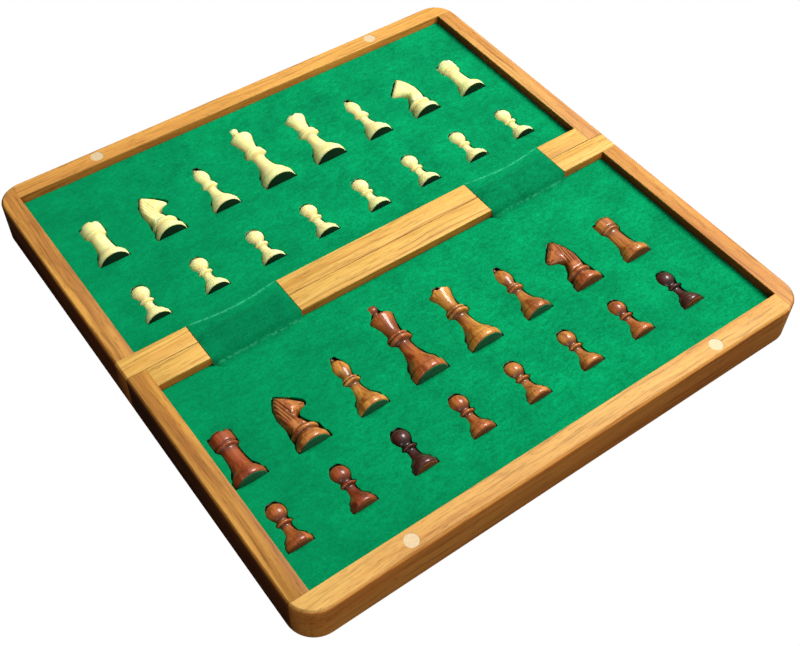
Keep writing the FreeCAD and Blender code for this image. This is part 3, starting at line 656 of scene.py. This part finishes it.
class CHESS_OT_hardware(bpy.types.Operator):
    """Hinge leaves, pins and screws, and the closing magnets"""

    bl_idname = "chess_case.hardware"
    bl_label = "Hinges and magnets"

    def execute(self, context):
        case = context.scene.chess_case
        brass = metal("rolled_brass", tuple(case.brass), 0.32, 0.8)
        steel = metal("drawn_steel", tuple(case.steel), 0.3, 0.5)
        plating = metal("dulled_nickel_plating", tuple(case.plating), 0.6, 1.2, metallic=0.1)
        for half in HALVES:
            paint("hinge_leaves_" + half, brass)
            paint("hinge_screws_" + half, brass)
            paint("magnets_" + half, plating)
        paint("hinge_pins", steel)
        return {"FINISHED"}


class CHESS_OT_inserts(bpy.types.Operator):
    """Velvet-faced foam inserts with a slot for each piece"""

    bl_idname = "chess_case.inserts"
    bl_label = "Velvet inserts"

    def execute(self, context):
        settings = context.scene.chess_velvet
        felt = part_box("slotted_insert_a")[1].z
        material = velvet("green_velvet_on_foam", settings, cut_level=felt)
        for colour, half in HALF_OF.items():
            name = "slotted_insert_" + half
            bm = self.cut_sheet(name, colour, settings)
            insert = finished(bm, name + "_velvet", material, math.radians(50))
            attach(insert, HALVES[half])
            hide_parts(name)
        return {"FINISHED"}

    def slot_outline(self, name, kind, gap, felt):
        """Points round a piece's slot, in mm: as wide as the piece is where it stands out of the velvet."""
        hang, narrowest_share, narrowest = 0.55, 0.65, 2.2 * MM
        # Room at the two ends, in shares of the gap
        foot_room, tip_room = -0.6, 0.4
        foot, radius, height, facing = stance(name, kind)
        if kind == KNIGHT:
            hanging = [hung(x, z, facing, hang) for x, z in KNIGHT_SLOT_SHARES]
            shares = [(x * facing, z) for x, z in hanging]
        else:
            half = SLOT_SHARES[kind]
            shares = half + [(-x, z) for x, z in reversed(half)]
        stands = felt - foot.z
        points = []
        for x, z in shares:
            wide = abs(x) * radius
            if kind != KNIGHT:
                chord = math.sqrt(max(0, wide ** 2 - stands ** 2))
                wide = max(chord, min(narrowest_share * wide, narrowest))
            along = z * height + gap * (foot_room if z < 0.05 else tip_room if z > 0.95 else 0)
            points.append(Vector((foot.x + math.copysign(wide + gap, x), foot.y + along)) / MM)
        return points

    def cut_sheet(self, name, colour, settings):
        """The insert, made in mm so that the fill and the lips work on numbers of a good size."""
        corner_radius, merged = 0.7, 0.05
        low, high = (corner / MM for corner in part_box(name))
        bm = bmesh.new()
        bm.verts.layers.float.new("frayed")
        slots = []
        for piece, kind in chess_pieces(colours=[colour]):
            points = self.slot_outline(piece, kind, settings.slot_gap, high.z * MM)
            outline = bm.faces.new([bm.verts.new((*point, high.z)) for point in points])
            slots.append((outline.calc_center_median(), piece, kind))
            rounded(bm, list(outline.verts), corner_radius, 3, "VERTICES")
        bmesh.ops.delete(bm, geom=list(bm.faces), context="FACES_ONLY")
        bmesh.ops.remove_doubles(bm, verts=bm.verts, dist=merged)
        corners = [bm.verts.new((x, y, high.z)) for x, y in (
            (low.x, low.y), (high.x, low.y), (high.x, high.y), (low.x, high.y))]
        for start, end in zip(corners, corners[1:] + corners[:1]):
            bm.edges.new((start, end))
        bmesh.ops.triangle_fill(bm, edges=list(bm.edges), use_beauty=True, normal=(0, 0, 1))
        self.cross_cut(bm, low, high)
        self.sink_slots(bm, low, high, slots, settings.lip / MM)
        self.close_underneath(bm, low, high)
        face_outwards(bm)
        self.swell(bm, low, high, settings.swell / MM)
        bmesh.ops.scale(bm, verts=bm.verts, vec=(MM, MM, MM))
        return bm

    def cross_cut(self, bm, low, high):
        """Cuts the sheet's face into cells, closer near its edges, so that it can swell."""
        cell = 4
        near = (0.5, 1.2, 2.2)
        for axis in (0, 1):
            start, end = low[axis], high[axis]
            cuts = [start + d for d in near] + [end - d for d in near]
            cuts += [start + cell * i for i in range(1, int((end - start) / cell) + 1)]
            cut_across(bm, axis, cuts)

    def gap_to_border(self, place, low, high):
        return min(place.x - low.x, high.x - place.x, place.y - low.y, high.y - place.y)

    def open_edges(self, bm, low, high, at_border):
        """Edges with one face, either those at the sheet's border or those round its slots."""
        for edge in bm.edges:
            middle = (edge.verts[0].co + edge.verts[1].co) / 2
            if len(edge.link_faces) == 1 and (self.gap_to_border(middle, low, high) < 0.01) == at_border:
                yield edge

    def sink_slots(self, bm, low, high, slots, lip):
        """Fills each slot's outline, rounds its lip, widens it down to the piece's axis and sinks its floor.

        The lip is frayed at the head's end, where the pieces are picked up.
        """
        # Shares of the piece's height, then room round it in mm
        frayed_from, tip_from = 0.84, 0.94
        side_room, tip_room, floor_room = 0.1, 0.3, 0.2
        frayed = bm.verts.layers.float["frayed"]
        rims = list(self.open_edges(bm, low, high, False))
        faces = bmesh.ops.holes_fill(bm, edges=rims, sides=0)["faces"]
        for inward, downward in ((0.6, 0.2), (0.25, 0.7)):
            bmesh.ops.inset_region(bm, faces=faces, thickness=lip * inward, depth=-lip * downward,
                                   use_even_offset=False, use_boundary=True)
        for face in faces:
            middle = face.calc_center_median()
            piece, kind = min(slots, key=lambda found: (found[0].xy - middle.xy).length)[1:]
            foot, radius, height = (size / MM for size in stance(piece, kind)[:3])
            stands = high.z - foot.z
            fray = {v: float(v.co.y > foot.y + frayed_from * height) for v in face.verts}
            wall = self.pushed_down(bm, face)
            for vert, share in fray.items():
                vert[frayed] = share
            for vert in (v for v in wall.verts if kind != KNIGHT):
                across = vert.co.x - foot.x
                vert.co.x = foot.x + math.copysign(math.hypot(across, stands) + side_room, across)
                if vert.co.y > foot.y + tip_from * height:
                    vert.co.y = max(vert.co.y, foot.y + height + tip_room)
            for vert in wall.verts:
                vert.co.z = foot.z
            for vert in self.pushed_down(bm, wall).verts:
                vert.co.z = foot.z - radius - floor_room

    def pushed_down(self, bm, face):
        """Extrudes a face, and gives back the new one without the old."""
        made = bmesh.ops.extrude_face_region(bm, geom=[face])["geom"]
        bmesh.ops.delete(bm, geom=[face], context="FACES_ONLY")
        return next(part for part in made if isinstance(part, bmesh.types.BMFace))

    def close_underneath(self, bm, low, high):
        border = list(self.open_edges(bm, low, high, True))
        skirt = bmesh.ops.extrude_edge_only(bm, edges=border)["geom"]
        for vert in verts_in(skirt):
            vert.co.z = low.z
        bmesh.ops.holes_fill(bm, edges=[e for e in skirt if isinstance(e, bmesh.types.BMEdge)], sides=0)

    def swell(self, bm, low, high, amount):
        """Lets the velvet rise and fall over its foam, and swell up where the rails press it."""
        broad_size, small_size, face_depth = 34, 11, 0.5
        bulge, bulge_reach, tuck, tuck_reach = 0.95, 4.5, 0.35, 0.4
        for vert in bm.verts:
            if vert.co.z < high.z - face_depth:
                continue
            broad = noise.noise(vert.co / broad_size)
            small = noise.noise(vert.co / small_size + Vector((7, 3, 1)))
            inside = self.gap_to_border(vert.co, low, high)
            pressed = bulge * math.exp(-inside / bulge_reach) - tuck * math.exp(-inside / tuck_reach)
            vert.co.z += amount * (0.7 * broad + 0.3 * small - 0.5) + pressed


class CHESS_OT_hinge_covers(bpy.types.Operator):
    """Velvet strips laid over the two hinges"""

    bl_idname = "chess_case.hinge_covers"
    bl_label = "Hinge covers"

    def execute(self, context):
        settings = context.scene.chess_velvet
        ends = sorted(abs(corner.x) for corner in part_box("hinge_cover_right"))
        # Each crease is a pale line painted as a painted highlight, and between them the strip is painted
        # darker as painted shade
        creases = ((10.3 * MM, 2.6 * MM, 0.36, 0.4, ends), (-12.0 * MM, 0.0, 0.44, 0.22, ends))
        material = velvet("green_velvet_strip", settings, creases=creases)
        course = [Vector((y * MM, z * MM)) for y, z in COVER_COURSE]
        lengths = [0.0]
        for start, end in zip(course, course[1:]):
            lengths.append(lengths[-1] + (end - start).length)
        for name in ("hinge_cover_left", "hinge_cover_right"):
            low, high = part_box(name)
            bm = self.strip(low.x, high.x - low.x, course, lengths)
            bmesh.ops.solidify(bm, geom=list(bm.faces), thickness=settings.cover_thickness)
            face_outwards(bm)
            cover = finished(bm, name + "_velvet", material, math.radians(70))
            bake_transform(cover, "half_b", "half_a", start=(0, -9 * MM, 0.02), end=(0, 9 * MM, 0.02))
            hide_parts(name)
        return {"FINISHED"}

    def strip(self, left, width, course, lengths):
        """A strip laid along its course, with a crown over the knuckles, and drawn in at its two sides."""
        side, crown_rise, crown_reach = 3.4 * MM, 1.15 * MM, 2.2 * MM
        tuck_from, tuck_share, droop = 10.5 * MM, 0.65, 0.2 * MM
        bm = bmesh.new()
        bmesh.ops.create_grid(bm, x_segments=40, y_segments=60, size=0.5)
        for vert in bm.verts:
            across, along = vert.co.x + 0.5, (vert.co.y + 0.5) * lengths[-1]
            step = next(i for i in range(len(course) - 1) if along <= lengths[i + 1] + 1e-9)
            share = (along - lengths[step]) / (lengths[step + 1] - lengths[step])
            point = course[step].lerp(course[step + 1], share)
            inside = min(1, min(across, 1 - across) * width / side)
            crown = crown_rise * math.exp(-(point.x / crown_reach) ** 2) * inside
            tuck = min(0, point.x + tuck_from) * tuck_share * (1 - inside)
            vert.co = (left + across * width, point.x - tuck, point.y + crown - droop * (1 - inside))
        bmesh.ops.smooth_vert(bm, verts=[v for v in bm.verts if not v.is_boundary], factor=0.5,
                              use_axis_y=True, use_axis_z=True)
        face_outwards(bm)
        return bm


def spun(bm, kind, radius, height, foot):
    """Adds a turned form standing on the origin, from the pad up, with its grooves marked for wax and painted
    shade and its crests marked for painted highlights.
    """
    least_hollow, least_crest, full = 0.01, 0.015, 0.04
    rise = height - foot
    groove = bm.verts.layers.float.get("groove") or bm.verts.layers.float.new("groove")
    shares = TURNED_SHARES[kind]
    verts = [bm.verts.new((x * radius, 0, foot + z * rise)) for x, z in shares]
    for before, here, after, line in zip(shares, shares[1:], shares[2:], zip(verts, verts[1:], verts[2:])):
        bend = (before[0] + after[0]) / 2 - here[0]
        hollow = min(1, max(0, (bend - least_hollow) / full))
        for vert, share in zip(line, (0.7, 1, 0.7)):
            vert[groove] = max(vert[groove], hollow * share)
        if line[1][groove] == 0:
            line[1][groove] = -min(1, max(0, (-bend - least_crest) / full))
    edges = [bm.edges.new(pair) for pair in zip(verts, verts[1:])]
    bmesh.ops.spin(bm, geom=verts + edges, cent=(0, 0, 0), axis=(0, 0, 1), angle=math.tau, steps=40,
                   use_merge=True)
    bmesh.ops.remove_doubles(bm, verts=bm.verts, dist=0.0005 * MM)
    face_outwards(bm)


def laid(bm, foot):
    """Lays a standing form in its slot, its foot towards the near rail."""
    bmesh.ops.rotate(bm, verts=bm.verts, cent=(0, 0, 0), matrix=Matrix.Rotation(-math.pi / 2, 3, "X"))
    bmesh.ops.translate(bm, verts=bm.verts, vec=foot)


def piece_wood(name, settings):
    """The wood of a chess piece, made when the first piece of its tone asks for it."""
    light = name.startswith("light")
    tone = "light" if light else DARK_TONES.get(name, "dark")
    called = "waxed_boxwood" if light else "lacquered_rosewood_" + tone
    depth, lacquer, glow = (0.12, 0.1, 0.85) if light else (0.56, 0.55, 0.0)
    colour = tuple(getattr(settings, tone + "_wood"))
    return bpy.data.materials.get(called) or turned_wood(called, colour, depth, lacquer, glow)


def settle(bm, name, foot, form, settings):
    """Lays a piece in its slot, smooths it, and lets it stand for its node and move with it."""
    laid(bm, foot)
    piece = finished(bm, f"{name}_{form}", piece_wood(name, settings))
    smooth = piece.modifiers.new("Smooth", "SUBSURF")
    smooth.levels = 1
    smooth.render_levels = 1
    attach(piece, name)
    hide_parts(name)


class CHESS_OT_turned_pieces(bpy.types.Operator):
    """Kings, queens, bishops, rooks and pawns"""

    bl_idname = "chess_case.turned_pieces"
    bl_label = "Turned pieces"

    def execute(self, context):
        settings = context.scene.chess_pieces
        for name, kind in chess_pieces(TURNED_KINDS):
            foot, radius, height = stance(name, kind)[:3]
            bm = bmesh.new()
            spun(bm, kind, radius, height, settings.pad_thickness)
            if kind == "rook":
                self.raise_merlons(bm, height)
            if kind == "queen":
                self.scallop(bm, radius, height)
            settle(bm, name, foot, "turned", settings)
        return {"FINISHED"}

    def raise_merlons(self, bm, height):
        """Raises the turret's top between its five embrasures."""
        top, depth, wall = 0.955 * height, 0.04 * height, 3 * MM
        spacing, embrasure = 360 / 5, 12
        merlons = []
        for face in bm.faces:
            middle = face.calc_center_median()
            turn = math.degrees(math.atan2(middle.y, middle.x)) % spacing
            on_top = face.normal.z > 0.9 and abs(middle.z - top) < depth and middle.xy.length > wall
            if on_top and embrasure < turn < spacing - embrasure:
                merlons.append(face)
        tips = verts_in(bmesh.ops.extrude_face_region(bm, geom=merlons)["geom"])
        bmesh.ops.translate(bm, verts=tips, vec=(0, 0, height - max(v.co.z for v in tips)))
        bmesh.ops.delete(bm, geom=merlons, context="FACES_ONLY")

    def scallop(self, bm, radius, height):
        """Gives the queen's coronet its nine points."""
        points, rise = 9, 0.012 * height
        for vert in bm.verts:
            if vert.co.z > 0.88 * height and vert.co.xy.length > 0.6 * radius:
                vert.co.z += rise * math.cos(points * math.atan2(vert.co.y, vert.co.x))


class CHESS_OT_knights(bpy.types.Operator):
    """Knights with carved heads on turned bases"""

    bl_idname = "chess_case.knights"
    bl_label = "Knights"

    def execute(self, context):
        settings = context.scene.chess_pieces
        for name, kind in chess_pieces([KNIGHT]):
            foot, radius, height, facing = stance(name, kind)
            comb = settings.mane_depth * (1 if name.startswith("dark") else 0.5)
            bm = self.carved_head(radius / MM, height / MM, settings.knight_thickness / 2 / MM, comb / MM)
            bmesh.ops.scale(bm, verts=bm.verts, vec=(MM, MM, MM))
            for vert in bm.verts:
                x, z = hung(vert.co.x / radius, vert.co.z / height, facing)
                vert.co = (x * radius * facing, vert.co.y, z * height)
            spun(bm, kind, radius, height, settings.pad_thickness)
            settle(bm, name, foot, "carved", settings)
        return {"FINISHED"}

    def outline(self, radius, height):
        """Points round the head in mm, with a curve drawn through the shares."""
        points = [Vector((x * radius, 0, z * height)) for x, z in KNIGHT_HEAD_SHARES]
        drawn = []
        for i, here in enumerate(points):
            before, after, beyond = (points[(i + k) % len(points)] for k in (-1, 1, 2))
            for t in (0, 0.25, 0.5, 0.75):
                drawn.append(0.5 * (2 * here + (after - before) * t
                                    + (2 * before - 5 * here + 4 * after - beyond) * t ** 2
                                    + (3 * here - before - 3 * after + beyond) * t ** 3))
        return drawn

    def carved_head(self, radius, height, half, comb):
        """A head in mm that swells from its outline to its cheeks, with a combed mane."""
        cell = 0.26
        bm = bmesh.new()
        groove = bm.verts.layers.float.new("groove")
        drawn = self.outline(radius, height)
        verts = [bm.verts.new(point) for point in drawn]
        edges = [bm.edges.new(pair) for pair in zip(verts, verts[1:] + verts[:1])]
        bmesh.ops.triangle_fill(bm, edges=edges, use_beauty=True, normal=(0, 1, 0))
        for axis in (0, 2):
            low, high = (pick(point[axis] for point in drawn) for pick in (min, max))
            cut_across(bm, axis, [low + i * cell for i in range(1, int((high - low) / cell) + 1)])
        slanted = []
        for edge in bm.edges:
            run = edge.verts[0].co - edge.verts[1].co
            if len(edge.link_faces) == 2 and min(abs(run.x), abs(run.z)) > 0.001:
                slanted.append(edge)
        bmesh.ops.dissolve_edges(bm, edges=slanted, use_verts=True)
        for vert in bm.verts:
            vert.co.y, vert[groove] = self.relief(vert.co, drawn, radius, height, half, comb)
        bmesh.ops.mirror(bm, geom=[*bm.verts, *bm.edges, *bm.faces], axis="Y", merge_dist=0.02)
        return bm

    def relief(self, place, drawn, radius, height, half, comb):
        """How far the carving stands out at a place on the head's side, and how dark its hollows are painted,
        with wax and painted shade.
        """
        cheek, eye, nose, mouth, tress = (0.1, 0.7), (0.28, 0.835), (0.92, 0.7), 0.668, 1.3
        edge_swell = 2.3
        reach = min((place - closest).length for closest in (
            start.lerp(end, min(1, max(0, (place - start).dot(end - start) / (end - start).length_squared)))
            for start, end in zip(drawn, drawn[1:] + drawn[:1])))
        x, z = place.x / radius, place.z / height
        swell = min(1, reach / edge_swell)
        lift = half * math.sqrt(1 - (1 - swell) ** 2) * (1 - 0.3 * self.step(x, 0.25, 1.0))

        def near(spot, size):
            away = math.hypot(place.x - spot[0] * radius, place.z - spot[1] * height)
            return self.step(away, size, size * 0.45)

        mane = self.step(x + 0.25 * (z - 0.7), 0.1, -0.02) * self.step(z, 0.44, 0.5)
        mane *= self.step(reach, 0.2, 0.8)
        combed = mane * (0.5 - 0.5 * math.cos(math.tau * (place.x + 0.12 * place.z) / tress))
        slit = self.step(abs(z - mouth) * height, 0.4, 0.15) * self.step(x, 0.6, 0.7)
        socket, nostril = near(eye, 1.1), near(nose, 0.55)
        lift += 0.35 * near(cheek, 2.4) + 0.45 * near(eye, 0.6)
        lift -= comb * combed + 0.35 * socket + 0.4 * nostril + 0.35 * slit
        edge = self.step(reach, 0.0, 0.4)
        # The second value paints the hollows dark, with wax and painted shade
        return max(0, lift) * edge, max(0.85 * combed, 0.8 * nostril, 0.7 * slit, 0.4 * socket) * edge

    def step(self, value, start, end):
        """A smooth step from 0 at the start to 1 at the end."""
        t = min(1, max(0, (value - start) / (end - start)))
        return t * t * (3 - 2 * t)


class CHESS_OT_felt_pads(bpy.types.Operator):
    """Felt pad glued under each chess piece"""

    bl_idname = "chess_case.felt_pads"
    bl_label = "Felt pads"

    def execute(self, context):
        settings = context.scene.chess_pieces
        felts = {
            # The light pieces' felt is painted darker, as painted shade
            "light": wool_felt("dark_green_felt", tuple(settings.light_pad)),
            "dark": wool_felt("green_felt", tuple(settings.dark_pad)),
            "brown": wool_felt("worn_brown_felt", tuple(settings.brown_pad)),
        }
        thickness = settings.pad_thickness
        for name, kind in chess_pieces():
            foot, radius = stance(name, kind)[:2]
            wide = 0.95 * radius
            bm = bmesh.new()
            bmesh.ops.create_cone(bm, cap_ends=True, segments=40, radius1=wide, radius2=wide, depth=thickness,
                                  matrix=Matrix.Translation((0, 0, thickness / 2)))
            rounded(bm, sharp_edges(bm, math.radians(60)), 0.15 * MM)
            laid(bm, foot)
            felt = felts["brown" if name.startswith(BROWN_PADS) else name.split("_")[0]]
            pad = finished(bm, name + "_pad", felt, math.radians(40))
            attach(pad, name)
        return {"FINISHED"}


class CHESS_OT_stage(bpy.types.Operator):
    """White floor, soft lamps and the camera"""

    bl_idname = "chess_case.stage"
    bl_label = "Stage"

    def execute(self, context):
        stage = context.scene.chess_stage
        context.scene.view_settings.view_transform = "Standard"
        self.floor()
        self.sky(stage.sky)
        self.lamp("key_lamp", Vector((0.62, 0.03, 0.95)), 0.55, stage.key_power)
        self.lamp("fill_lamp", Vector((-0.4, -1.0, 0.42)), 0.7, stage.fill_power)
        self.camera(stage)
        return {"FINISHED"}

    def floor(self):
        bm = bmesh.new()
        bmesh.ops.create_grid(bm, x_segments=8, y_segments=8, size=3)
        bmesh.ops.translate(bm, verts=bm.verts, vec=(0, 0, -0.02 * MM))
        material, tree = new_material("white_paper_floor")
        seen = node(tree, "LightPath").outputs["Is Camera Ray"]
        paper = node(tree, "BsdfDiffuse", {"Color": GREY_PAPER})
        white = node(tree, "Emission", {"Color": WHITE, "Strength": 1.03})
        mixed = node(tree, "MixShader", {0: calc(tree, "MULTIPLY", seen, 0.97), 1: paper, 2: white})
        node(tree, "OutputMaterial", {0: mixed})
        finished(bm, "paper_floor", material)

    def sky(self, strength):
        """A sky that is brightest above the right and dark low on the left; the camera sees it as white."""
        world = bpy.data.worlds.new("studio")
        world.use_nodes = True
        bpy.context.scene.world = world
        tree = world.node_tree
        tree.nodes.clear()
        place = node(tree, "TexCoord").outputs["Generated"]
        lean = node(tree, "VectorMath", {0: place, 1: (0.5, -0.1, 0.86)}, operation="DOT_PRODUCT")
        level = spread(tree, lean, 0.2, 1.0, 0.0, 1.6)
        light = node(tree, "Background", {0: WHITE, 1: calc(tree, "MULTIPLY", level, strength)})
        white = node(tree, "Background", {0: WHITE, 1: 1.0})
        seen = node(tree, "LightPath").outputs["Is Camera Ray"]
        node(tree, "OutputWorld", {0: node(tree, "MixShader", {0: seen, 1: light, 2: white})})

    def lamp(self, name, place, size, power):
        data = bpy.data.lights.new(name, "AREA")
        data.shape = "DISK"
        data.size = size
        data.energy = power
        made = bpy.data.objects.new(name, data)
        made.location = place
        made.rotation_euler = place.to_track_quat("Z", "Y").to_euler()
        bpy.context.scene.collection.objects.link(made)

    def camera(self, stage):
        data = bpy.data.cameras.new("photo_view")
        data.sensor_fit = "HORIZONTAL"
        data.sensor_width = 36
        data.lens = stage.lens
        data.clip_start = 0.01
        made = bpy.data.objects.new("photo_view", data)
        made.matrix_world = (
            Matrix.Translation(stage.target)
            @ Matrix.Rotation(stage.azimuth, 4, "Z")
            @ Matrix.Rotation(math.pi / 2 - stage.elevation, 4, "X")
            @ Matrix.Rotation(stage.roll, 4, "Z")
            @ Matrix.Translation((0, 0, stage.distance)))
        bpy.context.scene.collection.objects.link(made)
        bpy.context.scene.camera = made


OPERATORS = (
    CHESS_OT_stage, CHESS_OT_rails, CHESS_OT_underside, CHESS_OT_hardware, CHESS_OT_inserts,
    CHESS_OT_hinge_covers, CHESS_OT_turned_pieces, CHESS_OT_knights, CHESS_OT_felt_pads,
)


class CHESS_PT_case(bpy.types.Panel):
    """Lists the case's pieces and their settings"""

    bl_idname = "CHESS_PT_case"
    bl_label = "Chess case"
    bl_space_type = "VIEW_3D"
    bl_region_type = "UI"
    bl_category = "Chess case"

    def draw(self, context):
        for operator in OPERATORS:
            self.layout.operator(operator.bl_idname)
        for name, group in GROUPS.items():
            box = self.layout.box()
            for key in group.__annotations__:
                box.prop(getattr(context.scene, name), key)


CLASSES = (*GROUPS.values(), *OPERATORS, CHESS_PT_case)


def register():
    for item in CLASSES:
        bpy.utils.register_class(item)
    for name, group in GROUPS.items():
        setattr(bpy.types.Scene, name, bpy.props.PointerProperty(type=group))


def unregister():
    for name in GROUPS:
        delattr(bpy.types.Scene, name)
    for item in reversed(CLASSES):
        bpy.utils.unregister_class(item)


def main():
    register()
    for operator in OPERATORS:
        group, name = operator.bl_idname.split(".")
        getattr(getattr(bpy.ops, group), name)()


if __name__ == "__main__":
    main()
